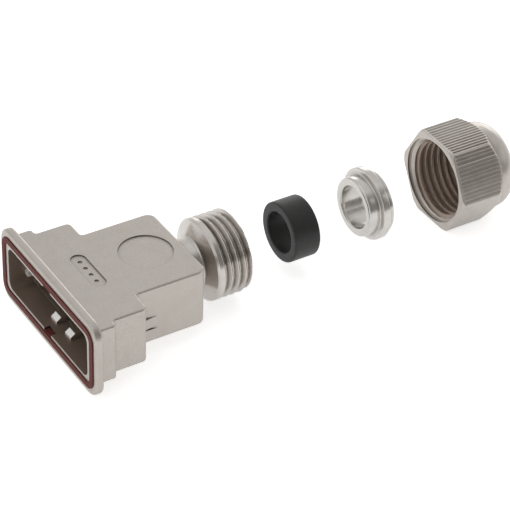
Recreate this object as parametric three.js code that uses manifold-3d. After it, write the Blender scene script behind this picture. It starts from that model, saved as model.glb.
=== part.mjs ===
// Cable gland on a rectangular connector hood, laid out as an exploded assembly on one axis.
//
// Units are millimetres. +X is the gland axis, from the hood's open mouth towards the cable end. +Z is
// up. Stations along X are measured from the flange's metal front face; the whole assembly is then moved
// so that the origin is the centre of its bounding box.
//
// The hood carries a threaded spigot. A rubber grommet slides into the spigot's counterbore, a stepped
// thrust ring presses on the grommet, and the cap nut, with a slip washer on its inner floor, drives the
// ring home.

import * as THREE from 'three';
import { mergeVertices } from 'three/addons/utils/BufferGeometryUtils.js';
import Module from 'manifold-3d';

const wasm = await Module();
wasm.setup();

// ---------------------------------------------------------------- driving dimensions

// Facets round a full turn, round a small corner, across a rounded edge, and round each arc of an outline
// seen from above.
const TURN_FACETS = 36;
const CORNER_FACETS = 3;
const EDGE_FACETS = 2;
const ARC_FACETS = 10;

// How far a cutting tool runs past the face it cuts, and how deep an added part is rooted in its neighbour.
const OVERCUT = 1;
const ROOTED = 0.3;

// Thread: M16 x 1.5, right-handed, shared by the spigot and the nut.
const PITCH = 1.5;
const THREAD_RADIUS = 8.0;
const THREAD_PITCH_RADIUS = 7.5125;
const THREAD_ROOT_RADIUS = 7.08;
const THREAD_PLAY = 0.08;
const FLANK_SLOPE = Math.tan(THREE.MathUtils.degToRad(30));

// Hood, outside. Each half-width holds up to the station of the same name.
const FLANGE_BACK = 1.75;
const FLANGE_HALF_WIDTH = 18.2;
const FLANGE_HALF_HEIGHT = 7.8;
const FLANGE_CORNER = 3.0;
const FLANGE_EDGE = 0.4;
const COLLAR_BACK = 5.35;
const COLLAR_HALF_WIDTH = 16.24;
const WIDE_BACK = 12.4;
const WIDE_HALF_WIDTH = 14.7;
const NARROW_BACK = 27.1;
const NARROW_HALF_WIDTH = 10.2;
const BODY_HALF_HEIGHT = 5.95;
const BODY_EDGE_ROUND = 0.45;
const REAR_CORNER = 1.8;

// Hood, inside.
const MOUTH_HALF_WIDTH = 15.15;
const MOUTH_HALF_HEIGHT = 4.6;
const MOUTH_CORNER = 1.6;
const FRONT_POCKET_BACK = 4.5;
const MIDDLE_POCKET_BACK = 11.2;
const MIDDLE_POCKET_HALF_WIDTH = 13.3;
const REAR_POCKET_BACK = 23.6;
const REAR_POCKET_HALF_WIDTH = 8.6;
const POCKET_HALF_HEIGHT = 4.35;

// Two guide ribs on the floor of the hood, each with a lead-in ramp at its front, and a small key with
// the same ramp on each side wall, just in front of the shoulder.
const RIB_CENTRES = [2.1, -3.25];
const RIB_WIDTH = 2.1;
const RIB_HEIGHT = 0.9;
const RIB_FRONT = 2.4;
const RIB_BACK = 20.0;
const RAMP_LENGTH = 0.65;
const RAMP_DROP = 0.4;
const KEY_FRONT = 3.3;
const KEY_REACH = 1.1;
const KEY_BOTTOM = -2.9;
const KEY_TOP = -1.3;

// Catch on each side of the narrow body: a wedge over a slot, both fading out towards the rear.
const CATCH_BACK = 16.9;
const CATCH_PROUD = 0.8;
const CATCH_TOP = -0.4;
const CATCH_BOTTOM = -2.6;
const SLOT_HEIGHT = 0.6;
const SLOT_DEPTH = 0.9;

// Shallow recesses in the hood's top face: a plain disc, and an obround with a row of small dimples.
const RECESS_DEPTH = 0.22;
const DISC_CENTRE = 20.1;
const DISC_RADIUS = 5.1;
const OBROUND_CENTRE = 8.4;
const OBROUND_LENGTH = 10.5;
const OBROUND_WIDTH = 3.0;
const DIMPLE_COUNT = 4;
const DIMPLE_PITCH = 2.1;
const DIMPLE_RADIUS = 0.42;
const DIMPLE_DEPTH = 0.2;

// Seal in the flange's front face.
const GROOVE_HALF_WIDTH = 17.4;
const GROOVE_HALF_HEIGHT = 6.55;
const GROOVE_CORNER = 2.6;
const GROOVE_WIDTH = 1.3;
const GROOVE_DEPTH = 1.1;
const SEAL_GAP = 0.05;
const SEAL_PROUD = 0.2;
const NOTCH_HALF_WIDTH = 1.35;
const TAB_HALF_WIDTH = 1.2;
const TAB_REACH = 0.5;

// Spigot. Behind its neck a cone widens to a plain land, and the thread runs from there to the end.
const NECK_RADIUS = 5.0;
const SPIGOT_BORE = 3.6;
const STUB_RADIUS = 4.65;
const WALL_HOLE_RADIUS = 4.7;
const CONE_FRONT = 29.7;
const LAND_FRONT = 31.0;
const LAND_BACK = 32.2;
const THREAD_BACK = 38.3;
const THREAD_CHAMFER = 0.4;
const COUNTERBORE_FRONT = 32.6;
const COUNTERBORE_RADIUS = 6.15;
const COUNTERBORE_CHAMFER = 0.2;
const O_RING_GROOVE = [24.8, 26.0];
const O_RING_GROOVE_RADIUS = 4.1;
const O_RING_HALF_WIDTH = 0.5;
const O_RING_GAP = 0.03;
const O_RING_FACETS = 8;
const CLOSE_FIT = 0.05;

// Loose parts, at their exploded stations.
const GROMMET_FRONT = 48.75;
const GROMMET_LENGTH = 5.5;
const GROMMET_RADIUS = 5.95;
const GROMMET_BORE = 4.1;
const GROMMET_CHAMFER = 0.2;

const RING_FRONT = 65.4;
const RING_BORE = 4.25;
const RING_NOSE = { length: 2.4, radius: 5.9 };
const RING_FLANGE = { length: 1.6, radius: 7.2 };
const RING_RIM = { length: 1.1, radius: 6.45 };
const RING_EDGE = 0.25;

// Cap nut. Every length below is from its own front face.
const NUT_FRONT = 84.0;
const NUT_LENGTH = 14.5;
const NUT_ACROSS_FLATS = 18.0;
const NUT_CORNERS_END = 8.2;
const NUT_FLATS_END = 10.4;
const NUT_DOME_RADIUS = 8.7;
const NUT_DOME_START = 11.2;
const NUT_END_RADIUS = 5.9;
const NUT_HOLE = 4.75;
const NUT_DOME_FACETS = 6;
const NUT_FRONT_CHAMFER = { length: 0.45, depth: 0.75 };
const NUT_END_CHAMFER = 0.4;
const NUT_FLOOR = 11.3;
const NUT_RECESS_RADIUS = 8.5;
const NUT_RECESS_DEPTH = 0.6;
const NUT_MOUTH_RADIUS = 8.15;
const NUT_THREAD_START = 1.5;
const NUT_THREAD_END = 9.8;
const NUT_MINOR_RADIUS = 7.33;
const NUT_MAJOR_RADIUS = 8.12;
const SMOOTH_FLATS = [0, 3];
const GROOVES_PER_FLAT = 13;
const GROOVE_PITCH = 0.78;
const V_GROOVE_WIDTH = 0.46;
const V_GROOVE_DEPTH = 0.28;

const WASHER_THICKNESS = 0.8;
const WASHER_RADIUS = 7.0;
const WASHER_BORE = 4.6;
const WASHER_CHAMFER = 0.1;

// ---------------------------------------------------------------- solids and booleans

function toSolid(geometry) {
  const bare = geometry.index ? geometry.clone() : geometry;
  bare.deleteAttribute('normal');
  bare.deleteAttribute('uv');
  const merged = mergeVertices(bare);
  return new wasm.Manifold(new wasm.Mesh({
    numProp: 3,
    vertProperties: new Float32Array(merged.attributes.position.array),
    triVerts: new Uint32Array(merged.index.array),
  }));
}

function toGeometry(solid) {
  const mesh = solid.getMesh();
  const geometry = new THREE.BufferGeometry();
  geometry.setAttribute('position', new THREE.BufferAttribute(mesh.vertProperties, 3));
  geometry.setIndex(new THREE.BufferAttribute(mesh.triVerts, 1));
  geometry.computeVertexNormals();
  return geometry;
}

// Turns a geometry's own (x, y, z) into the assembly's (Y, Z, X), so that an extrusion runs along +X.
const EXTRUSION_TO_X = new THREE.Matrix4().set(
  0, 0, 1, 0,
  1, 0, 0, 0,
  0, 1, 0, 0,
  0, 0, 0, 1,
);

// Turns a lathe's own axis, +Y, into the assembly's +X.
const LATHE_TO_X = new THREE.Matrix4().set(
  0, 1, 0, 0,
  0, 0, 1, 0,
  1, 0, 0, 0,
  0, 0, 0, 1,
);

function box(xRange, yRange, zRange) {
  const ranges = [xRange, yRange, zRange];
  const [sx, sy, sz] = ranges.map(([low, high]) => high - low);
  const [cx, cy, cz] = ranges.map(([low, high]) => (low + high) / 2);
  return toSolid(new THREE.BoxGeometry(sx, sy, sz).translate(cx, cy, cz));
}

// A plain round bar on the axis.
function rod(front, back, radius) {
  const geometry = new THREE.CylinderGeometry(radius, radius, back - front, TURN_FACETS);
  return toSolid(geometry.applyMatrix4(LATHE_TO_X).translate((front + back) / 2, 0, 0));
}

// An outline in the plane across the axis, drawn in (Y, Z) and extruded from one X station to another,
// with an optional rounded edge at both ends.
function prismAlongX(shape, front, back, edge = 0) {
  const geometry = new THREE.ExtrudeGeometry(shape, {
    depth: back - front - 2 * edge,
    bevelEnabled: edge > 0,
    bevelThickness: edge,
    bevelSize: edge,
    bevelOffset: -edge,
    bevelSegments: EDGE_FACETS,
    curveSegments: CORNER_FACETS,
  });
  return toSolid(geometry.applyMatrix4(EXTRUSION_TO_X).translate(front + edge, 0, 0));
}

// An outline drawn in (X, Y) and extruded upwards from one height to another.
function prismAlongZ(shape, bottom, top) {
  const options = { depth: top - bottom, bevelEnabled: false, curveSegments: ARC_FACETS };
  return toSolid(new THREE.ExtrudeGeometry(shape, options).translate(0, 0, bottom));
}

function roundedRectangle(halfWidth, halfHeight, corner) {
  const shape = new THREE.Shape();
  const cx = halfWidth - corner;
  const cy = halfHeight - corner;
  shape.absarc(cx, -cy, corner, -Math.PI / 2, 0);
  shape.absarc(cx, cy, corner, 0, Math.PI / 2);
  shape.absarc(-cx, cy, corner, Math.PI / 2, Math.PI);
  shape.absarc(-cx, -cy, corner, Math.PI, 1.5 * Math.PI);
  return shape;
}

// A ring turned about the axis. The profile is a list of [station, radius] that runs along the outside
// towards +X and back along the bore, and closes on its first point.
function turned(profile) {
  const points = [...profile, profile[0]].map(([x, radius]) => new THREE.Vector2(radius, x));
  const geometry = new THREE.LatheGeometry(points, TURN_FACETS);
  return toSolid(geometry.applyMatrix4(LATHE_TO_X));
}

// A plain turned ring with small chamfers on its outer and inner edges.
function plainRing(front, back, outer, inner, chamfer) {
  return turned([
    [front, outer - chamfer],
    [front + chamfer, outer],
    [back - chamfer, outer],
    [back, outer - chamfer],
    [back, inner + chamfer],
    [back - chamfer, inner],
    [front + chamfer, inner],
    [front, inner + chamfer],
  ]);
}

// A solid screw with a right-handed helical ridge, long enough to cover front..back. The ridge has the
// standard 60 degree form: ridgeWidth is its axial width where a mating pair is equally thick. Ridge
// centres fall on whole pitches at the angle of +Y, so every screw made here is in phase with every other
// one.
function screw(front, back, rootRadius, crestRadius, ridgeWidth) {
  const halfWidthAt = (radius) => ridgeWidth / 2 + (THREAD_PITCH_RADIUS - radius) * FLANK_SLOPE;
  const rows = [
    [-halfWidthAt(rootRadius), rootRadius],
    [-halfWidthAt(crestRadius), crestRadius],
    [halfWidthAt(crestRadius), crestRadius],
    [halfWidthAt(rootRadius), rootRadius],
  ];
  const firstCentre = PITCH * (Math.floor(front / PITCH) - 1);
  const turns = Math.ceil((back - firstCentre) / PITCH) + 1;
  const steps = turns * TURN_FACETS;

  // Each row is one spiral of steps + 1 points. Two more points, on the axis, close the ends.
  const positions = [];
  for (const [offset, radius] of rows) {
    for (let step = 0; step <= steps; step += 1) {
      const angle = (2 * Math.PI * step) / TURN_FACETS;
      const x = firstCentre + offset + (PITCH * step) / TURN_FACETS;
      positions.push(x, radius * Math.cos(angle), radius * Math.sin(angle));
    }
  }
  const point = (row, step) => row * (steps + 1) + step;
  const frontPole = rows.length * (steps + 1);
  const backPole = frontPole + 1;
  positions.push(firstCentre, 0, 0, firstCentre + PITCH * turns, 0, 0);

  const triangles = [];
  const quad = (a, b, c, d) => triangles.push(a, b, c, b, d, c);
  const lastRow = rows.length - 1;
  for (let step = 0; step < steps; step += 1) {
    for (let row = 0; row < lastRow; row += 1) {
      quad(point(row, step), point(row, step + 1), point(row + 1, step), point(row + 1, step + 1));
    }
    const nextTurn = step + TURN_FACETS;
    if (nextTurn < steps) {
      quad(point(lastRow, step), point(lastRow, step + 1), point(0, nextTurn), point(0, nextTurn + 1));
    }
  }
  // Each end is a fan from the axis over the last turn of spiral and the step across the ridge.
  for (let step = 0; step < TURN_FACETS; step += 1) {
    const tail = steps - TURN_FACETS + step;
    triangles.push(frontPole, point(0, step + 1), point(0, step));
    triangles.push(backPole, point(lastRow, tail), point(lastRow, tail + 1));
  }
  triangles.push(frontPole, point(lastRow, 0), point(0, TURN_FACETS));
  triangles.push(backPole, point(0, steps), point(lastRow, steps - TURN_FACETS));
  for (let row = 0; row < lastRow; row += 1) {
    triangles.push(frontPole, point(row, 0), point(row + 1, 0));
    triangles.push(backPole, point(row + 1, steps), point(row, steps));
  }

  const geometry = new THREE.BufferGeometry();
  geometry.setAttribute('position', new THREE.Float32BufferAttribute(positions, 3));
  geometry.setIndex(triangles);
  return toSolid(geometry);
}

// ---------------------------------------------------------------- hood

// The stepped body behind the flange. Its three lengths share one flat top and bottom and step inwards in
// Y.
function hoodBody() {
  const stretch = (halfWidth, back) => {
    const section = roundedRectangle(halfWidth, BODY_HALF_HEIGHT, BODY_EDGE_ROUND);
    return prismAlongX(section, FLANGE_BACK / 2, back);
  };
  const rear = new THREE.Shape();
  const cornerX = NARROW_BACK - REAR_CORNER;
  const cornerY = NARROW_HALF_WIDTH - REAR_CORNER;
  rear.moveTo(0, -NARROW_HALF_WIDTH);
  rear.lineTo(cornerX, -NARROW_HALF_WIDTH);
  rear.absarc(cornerX, -cornerY, REAR_CORNER, -Math.PI / 2, 0);
  rear.absarc(cornerX, cornerY, REAR_CORNER, 0, Math.PI / 2);
  rear.lineTo(0, NARROW_HALF_WIDTH);
  return stretch(NARROW_HALF_WIDTH, NARROW_BACK)
    .intersect(prismAlongZ(rear, -FLANGE_HALF_HEIGHT, FLANGE_HALF_HEIGHT))
    .add(stretch(WIDE_HALF_WIDTH, WIDE_BACK))
    .add(stretch(COLLAR_HALF_WIDTH, COLLAR_BACK));
}

function hoodCavity() {
  const mouth = roundedRectangle(MOUTH_HALF_WIDTH, MOUTH_HALF_HEIGHT, MOUTH_CORNER);
  const middle = roundedRectangle(MIDDLE_POCKET_HALF_WIDTH, POCKET_HALF_HEIGHT, MOUTH_CORNER);
  const rear = roundedRectangle(REAR_POCKET_HALF_WIDTH, POCKET_HALF_HEIGHT, MOUTH_CORNER);
  return prismAlongX(mouth, -OVERCUT, FRONT_POCKET_BACK)
    .add(prismAlongX(middle, 0, MIDDLE_POCKET_BACK))
    .add(prismAlongX(rear, 0, REAR_POCKET_BACK));
}

// A block whose front top edge is cut back to a ramp.
function rampedBlock([front, back], [near, far], [bottom, top]) {
  const side = new THREE.Shape();
  side.moveTo(front, bottom);
  side.lineTo(back, bottom);
  side.lineTo(back, top);
  side.lineTo(front + RAMP_LENGTH, top);
  side.lineTo(front, top - RAMP_DROP);
  const geometry = new THREE.ExtrudeGeometry(side, { depth: far - near, bevelEnabled: false });
  return toSolid(geometry.rotateX(Math.PI / 2).translate(0, far, 0));
}

function guideRib(centre) {
  const floor = -POCKET_HALF_HEIGHT;
  const across = [centre - RIB_WIDTH / 2, centre + RIB_WIDTH / 2];
  return rampedBlock([RIB_FRONT, RIB_BACK], across, [-MOUTH_HALF_HEIGHT - ROOTED, floor + RIB_HEIGHT]);
}

function sideKey(side) {
  const across = [side * (MOUTH_HALF_WIDTH - KEY_REACH), side * (MOUTH_HALF_WIDTH + ROOTED)];
  return rampedBlock(
    [KEY_FRONT, FRONT_POCKET_BACK + ROOTED],
    [Math.min(...across), Math.max(...across)],
    [KEY_BOTTOM, KEY_TOP],
  );
}

// A prism whose outline, drawn in (X, distance from the middle), is mirrored to either side of the hood.
function sidePrism(side, outline, bottom, top) {
  const points = outline.map(([x, y]) => new THREE.Vector2(x, side * y));
  if (side < 0) {
    points.reverse();
  }
  return prismAlongZ(new THREE.Shape(points), bottom, top);
}

// The wedge starts against the step behind the wide body, and its root is buried in the narrow body's wall.
function sideCatch(side) {
  const root = NARROW_HALF_WIDTH - ROOTED;
  return sidePrism(side, [
    [WIDE_BACK - ROOTED, root],
    [CATCH_BACK, root],
    [CATCH_BACK, NARROW_HALF_WIDTH],
    [WIDE_BACK - ROOTED, NARROW_HALF_WIDTH + CATCH_PROUD],
  ], CATCH_BOTTOM, CATCH_TOP);
}

function catchSlot(side) {
  return sidePrism(side, [
    [WIDE_BACK, NARROW_HALF_WIDTH - SLOT_DEPTH],
    [CATCH_BACK, NARROW_HALF_WIDTH],
    [CATCH_BACK, NARROW_HALF_WIDTH + OVERCUT],
    [WIDE_BACK, NARROW_HALF_WIDTH + OVERCUT],
  ], CATCH_BOTTOM - SLOT_HEIGHT, CATCH_BOTTOM);
}

function topRecesses() {
  const floor = BODY_HALF_HEIGHT - RECESS_DEPTH;
  const disc = new THREE.Shape();
  disc.absarc(DISC_CENTRE, 0, DISC_RADIUS, 0, 2 * Math.PI);
  const obround = new THREE.Shape();
  const end = OBROUND_LENGTH / 2 - OBROUND_WIDTH / 2;
  obround.absarc(OBROUND_CENTRE, end, OBROUND_WIDTH / 2, 0, Math.PI);
  obround.absarc(OBROUND_CENTRE, -end, OBROUND_WIDTH / 2, Math.PI, 2 * Math.PI);
  const above = BODY_HALF_HEIGHT + OVERCUT;
  let cut = prismAlongZ(disc, floor, above).add(prismAlongZ(obround, floor, above));
  for (let i = 0; i < DIMPLE_COUNT; i += 1) {
    const y = (i - (DIMPLE_COUNT - 1) / 2) * DIMPLE_PITCH;
    const dimple = new THREE.Shape();
    dimple.absarc(OBROUND_CENTRE, y, DIMPLE_RADIUS, 0, 2 * Math.PI);
    cut = cut.add(prismAlongZ(dimple, floor - DIMPLE_DEPTH, above));
  }
  return cut;
}

// The rounded-rectangle ring that holds the seal; gap shrinks it on every side to give the seal itself.
function grooveRing(front, back, gap) {
  const outer = roundedRectangle(GROOVE_HALF_WIDTH - gap, GROOVE_HALF_HEIGHT - gap, GROOVE_CORNER - gap);
  const inner = roundedRectangle(
    GROOVE_HALF_WIDTH - GROOVE_WIDTH + gap,
    GROOVE_HALF_HEIGHT - GROOVE_WIDTH + gap,
    GROOVE_CORNER - GROOVE_WIDTH + gap,
  );
  return prismAlongX(outer, front, back).subtract(prismAlongX(inner, front - OVERCUT, back + OVERCUT));
}

// A box at the middle of the flange's top or bottom side, between two heights from the axis.
function middleBox(side, xRange, halfWidth, heights) {
  const zRange = heights.map((height) => side * height);
  return box(xRange, [-halfWidth, halfWidth], [Math.min(...zRange), Math.max(...zRange)]);
}

function hoodShell() {
  const flange = roundedRectangle(FLANGE_HALF_WIDTH, FLANGE_HALF_HEIGHT, FLANGE_CORNER);
  const grooveInside = GROOVE_HALF_HEIGHT - GROOVE_WIDTH;
  let shell = prismAlongX(flange, 0, FLANGE_BACK, FLANGE_EDGE)
    .add(hoodBody())
    .subtract(hoodCavity())
    .subtract(grooveRing(-OVERCUT, GROOVE_DEPTH, 0));
  for (const side of [-1, 1]) {
    const notch = [MOUTH_HALF_HEIGHT - ROOTED, grooveInside + ROOTED];
    shell = shell
      .subtract(middleBox(side, [-OVERCUT, GROOVE_DEPTH], NOTCH_HALF_WIDTH, notch))
      .add(sideKey(side))
      .add(sideCatch(side))
      .subtract(catchSlot(side));
  }
  for (const centre of RIB_CENTRES) {
    shell = shell.add(guideRib(centre));
  }
  return shell
    .subtract(topRecesses())
    .subtract(rod(REAR_POCKET_BACK, NARROW_BACK + OVERCUT, WALL_HOLE_RADIUS));
}

function flangeSeal() {
  const back = GROOVE_DEPTH - SEAL_GAP;
  const inside = GROOVE_HALF_HEIGHT - GROOVE_WIDTH + SEAL_GAP;
  let seal = grooveRing(-SEAL_PROUD, back, SEAL_GAP);
  for (const side of [-1, 1]) {
    seal = seal.add(middleBox(side, [0, back], TAB_HALF_WIDTH, [inside - TAB_REACH, inside + ROOTED]));
  }
  return seal;
}

// ---------------------------------------------------------------- turned parts

function glandSpigot() {
  const stubFront = REAR_POCKET_BACK + CLOSE_FIT;
  const shoulder = NARROW_BACK + CLOSE_FIT;
  const [grooveFront, grooveBack] = O_RING_GROOVE;
  const landEdge = LAND_FRONT + THREAD_CHAMFER;
  const tube = turned([
    [stubFront, STUB_RADIUS],
    [grooveFront, STUB_RADIUS],
    [grooveFront, O_RING_GROOVE_RADIUS],
    [grooveBack, O_RING_GROOVE_RADIUS],
    [grooveBack, STUB_RADIUS],
    [shoulder, STUB_RADIUS],
    [shoulder, NECK_RADIUS],
    [CONE_FRONT, NECK_RADIUS],
    [LAND_FRONT, THREAD_RADIUS - THREAD_CHAMFER],
    [landEdge, THREAD_RADIUS],
    [LAND_BACK, THREAD_RADIUS],
    [LAND_BACK, SPIGOT_BORE],
    [stubFront, SPIGOT_BORE],
  ]);
  const blank = turned([
    [landEdge, THREAD_RADIUS],
    [THREAD_BACK - THREAD_CHAMFER, THREAD_RADIUS],
    [THREAD_BACK, THREAD_RADIUS - THREAD_CHAMFER],
    [THREAD_BACK, COUNTERBORE_RADIUS + COUNTERBORE_CHAMFER],
    [THREAD_BACK - COUNTERBORE_CHAMFER, COUNTERBORE_RADIUS],
    [COUNTERBORE_FRONT, COUNTERBORE_RADIUS],
    [COUNTERBORE_FRONT, SPIGOT_BORE],
    [landEdge, SPIGOT_BORE],
  ]);
  const ridge = screw(
    landEdge,
    THREAD_BACK,
    THREAD_ROOT_RADIUS,
    THREAD_RADIUS,
    PITCH / 2 - THREAD_PLAY,
  );
  return blank.intersect(ridge).add(tube);
}

function spigotORing() {
  const [grooveFront, grooveBack] = O_RING_GROOVE;
  const centre = (grooveFront + grooveBack) / 2;
  const low = O_RING_GROOVE_RADIUS + O_RING_GAP;
  const high = WALL_HOLE_RADIUS - O_RING_GAP;
  const profile = [];
  for (let i = 0; i < O_RING_FACETS; i += 1) {
    const angle = (2 * Math.PI * i) / O_RING_FACETS;
    profile.push([
      centre - O_RING_HALF_WIDTH * Math.cos(angle),
      (low + high) / 2 + ((high - low) / 2) * Math.sin(angle),
    ]);
  }
  return turned(profile);
}

function thrustRing() {
  const noseBack = RING_FRONT + RING_NOSE.length;
  const flangeBack = noseBack + RING_FLANGE.length;
  const rimBack = flangeBack + RING_RIM.length;
  const edge = RING_EDGE;
  return turned([
    [RING_FRONT, RING_NOSE.radius - 2 * edge],
    [RING_FRONT + 2 * edge, RING_NOSE.radius],
    [noseBack, RING_NOSE.radius],
    [noseBack, RING_FLANGE.radius - edge],
    [noseBack + edge, RING_FLANGE.radius],
    [flangeBack - edge, RING_FLANGE.radius],
    [flangeBack, RING_FLANGE.radius - edge],
    [flangeBack, RING_RIM.radius],
    [rimBack - edge, RING_RIM.radius],
    [rimBack, RING_RIM.radius - edge],
    [rimBack, RING_BORE + edge],
    [rimBack - edge, RING_BORE],
    [RING_FRONT + edge, RING_BORE],
    [RING_FRONT, RING_BORE + edge],
  ]);
}

// ---------------------------------------------------------------- cap nut

// The nut's hexagon in (Y, Z), with corners on the Y axis. Four of its flats carry a row of V grooves; the
// other two, which face each other, are smooth.
function nutOutline() {
  const apothem = NUT_ACROSS_FLATS / 2;
  const points = [];
  for (let flat = 0; flat < 6; flat += 1) {
    const facing = THREE.MathUtils.degToRad(30 + 60 * flat);
    const normal = new THREE.Vector2(Math.cos(facing), Math.sin(facing));
    const along = new THREE.Vector2(-normal.y, normal.x);
    const place = (distance, depth) => normal.clone()
      .multiplyScalar(apothem - depth)
      .addScaledVector(along, distance);
    points.push(place(-apothem * Math.tan(Math.PI / 6), 0));
    if (!SMOOTH_FLATS.includes(flat)) {
      for (let groove = 0; groove < GROOVES_PER_FLAT; groove += 1) {
        const centre = (groove - (GROOVES_PER_FLAT - 1) / 2) * GROOVE_PITCH;
        points.push(place(centre - V_GROOVE_WIDTH / 2, 0));
        points.push(place(centre, V_GROOVE_DEPTH));
        points.push(place(centre + V_GROOVE_WIDTH / 2, 0));
      }
    }
  }
  return new THREE.Shape(points);
}

// The turned outside of the nut, with its cable hole.
function nutEnvelope() {
  const corner = NUT_ACROSS_FLATS / 2 / Math.cos(Math.PI / 6) + 0.1;
  const domeDepth = NUT_LENGTH - NUT_DOME_START;
  const domeDrop = NUT_DOME_RADIUS - NUT_END_RADIUS;
  const profile = [
    [0, corner - NUT_FRONT_CHAMFER.depth],
    [NUT_FRONT_CHAMFER.length, corner],
    [NUT_CORNERS_END, corner],
    [NUT_FLATS_END, NUT_DOME_RADIUS],
  ];
  for (let i = 0; i <= NUT_DOME_FACETS; i += 1) {
    const angle = ((Math.PI / 2) * i) / NUT_DOME_FACETS;
    profile.push([
      NUT_DOME_START + domeDepth * Math.sin(angle),
      NUT_END_RADIUS + domeDrop * Math.cos(angle),
    ]);
  }
  profile.push(
    [NUT_LENGTH, NUT_HOLE + NUT_END_CHAMFER],
    [NUT_LENGTH - NUT_END_CHAMFER, NUT_HOLE],
    [0, NUT_HOLE],
  );
  return turned(profile.map(([x, radius]) => [NUT_FRONT + x, radius]));
}

function capNut() {
  const at = (x) => NUT_FRONT + x;
  const hexagon = prismAlongX(nutOutline(), at(0), at(NUT_FLATS_END + ROOTED));
  const dome = rod(at(NUT_FLATS_END - ROOTED), at(NUT_LENGTH + OVERCUT), NUT_DOME_RADIUS);
  const bore = turned([
    [at(-OVERCUT), NUT_RECESS_RADIUS],
    [at(NUT_RECESS_DEPTH), NUT_RECESS_RADIUS],
    [at(NUT_RECESS_DEPTH), NUT_MOUTH_RADIUS],
    [at(NUT_THREAD_START), NUT_MINOR_RADIUS],
    [at(NUT_FLOOR), NUT_MINOR_RADIUS],
    [at(NUT_FLOOR), NUT_HOLE - OVERCUT],
    [at(-OVERCUT), NUT_HOLE - OVERCUT],
  ]);
  const tap = screw(
    at(0),
    at(NUT_THREAD_END),
    NUT_MINOR_RADIUS - THREAD_PLAY,
    NUT_MAJOR_RADIUS,
    PITCH / 2 + THREAD_PLAY,
  ).intersect(rod(at(0), at(NUT_THREAD_END), NUT_MAJOR_RADIUS + OVERCUT));
  const shell = hexagon.add(dome).intersect(nutEnvelope());
  return shell.subtract(bore).subtract(tap);
}

// ---------------------------------------------------------------- materials and assembly

function metal(colour, roughness) {
  return new THREE.MeshStandardMaterial({ color: colour, roughness, metalness: 0.9 });
}

function rubber(colour) {
  return new THREE.MeshStandardMaterial({ color: colour, roughness: 0.6, metalness: 0 });
}

const washerBack = NUT_FRONT + NUT_FLOOR - CLOSE_FIT;
const grommetBack = GROMMET_FRONT + GROMMET_LENGTH;

const pieces = {
  hood_shell: [hoodShell(), metal(0xb6aea7, 0.5)],
  flange_seal: [flangeSeal(), rubber(0x6e3e38)],
  gland_spigot: [glandSpigot(), metal(0xc8c3bc, 0.28)],
  spigot_o_ring: [spigotORing(), rubber(0x1c1c1c)],
  grommet: [
    plainRing(GROMMET_FRONT, grommetBack, GROMMET_RADIUS, GROMMET_BORE, GROMMET_CHAMFER),
    rubber(0x2d2b2b),
  ],
  thrust_ring: [thrustRing(), metal(0xd7d4d0, 0.2)],
  slip_washer: [
    plainRing(washerBack - WASHER_THICKNESS, washerBack, WASHER_RADIUS, WASHER_BORE, WASHER_CHAMFER),
    metal(0xcfcbc6, 0.3),
  ],
  cap_nut: [capNut(), metal(0xbeb7b0, 0.35)],
};

const assembly = new THREE.Group();
for (const [name, [solid, material]] of Object.entries(pieces)) {
  const mesh = new THREE.Mesh(toGeometry(solid), material);
  mesh.name = name;
  assembly.add(mesh);
}

// The seal's front and the nut's end are the two ends of the bounding box.
assembly.position.x = -(NUT_FRONT + NUT_LENGTH - SEAL_PROUD) / 2;

const root = new THREE.Group();
root.add(assembly);

export default root;
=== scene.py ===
"""Looks for a cable gland on a rectangular connector hood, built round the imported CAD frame.

Blender works in metres. Shapes are drawn in millimetres from the hood's front face, with +X along the gland
axis, and are moved into the frame when they become meshes.
"""

import math

import bmesh
import bpy
import numpy as np
from mathutils import Matrix, Vector


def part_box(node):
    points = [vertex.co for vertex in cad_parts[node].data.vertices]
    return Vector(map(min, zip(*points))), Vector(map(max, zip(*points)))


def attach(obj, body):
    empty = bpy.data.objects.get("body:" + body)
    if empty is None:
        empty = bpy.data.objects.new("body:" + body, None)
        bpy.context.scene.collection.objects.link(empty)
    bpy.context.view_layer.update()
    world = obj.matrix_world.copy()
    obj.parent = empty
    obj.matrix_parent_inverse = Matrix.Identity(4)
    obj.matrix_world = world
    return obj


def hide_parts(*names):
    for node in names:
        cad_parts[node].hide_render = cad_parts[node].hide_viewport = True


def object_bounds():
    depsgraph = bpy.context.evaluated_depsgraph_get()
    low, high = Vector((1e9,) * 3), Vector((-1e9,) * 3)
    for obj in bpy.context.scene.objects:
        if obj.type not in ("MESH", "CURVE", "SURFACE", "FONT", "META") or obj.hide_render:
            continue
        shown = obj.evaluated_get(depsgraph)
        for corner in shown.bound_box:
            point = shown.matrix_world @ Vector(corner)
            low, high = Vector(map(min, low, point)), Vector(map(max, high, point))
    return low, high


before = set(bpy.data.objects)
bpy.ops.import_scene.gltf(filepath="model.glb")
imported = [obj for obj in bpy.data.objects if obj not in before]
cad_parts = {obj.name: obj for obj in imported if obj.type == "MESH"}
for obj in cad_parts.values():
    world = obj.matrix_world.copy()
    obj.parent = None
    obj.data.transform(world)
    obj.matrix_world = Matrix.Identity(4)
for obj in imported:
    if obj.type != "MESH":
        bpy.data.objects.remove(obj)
CAD_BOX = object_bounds()

MM = 0.001
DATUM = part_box("hood_shell")[0].x


def station(node, end):
    """A node's front (0) or back (1) station along the axis, in millimetres from the hood's front face."""
    return (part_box(node)[end].x - DATUM) / MM


def outer_radius(node):
    """A node's largest half-height, in millimetres."""
    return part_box(node)[1].z / MM


# ---------------------------------------------------------------- sizes, in millimetres

# Thread M16 x 1.5, in the same phase as the frame's.
PITCH = 1.5
THREAD_RADIUS = 8.0
THREAD_PITCH_RADIUS = 7.5125
THREAD_ROOT = 7.08
THREAD_PLAY = 0.08
FLANK_SLOPE = math.tan(math.radians(30))
THREAD_RUN_OUT = 0.4

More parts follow.
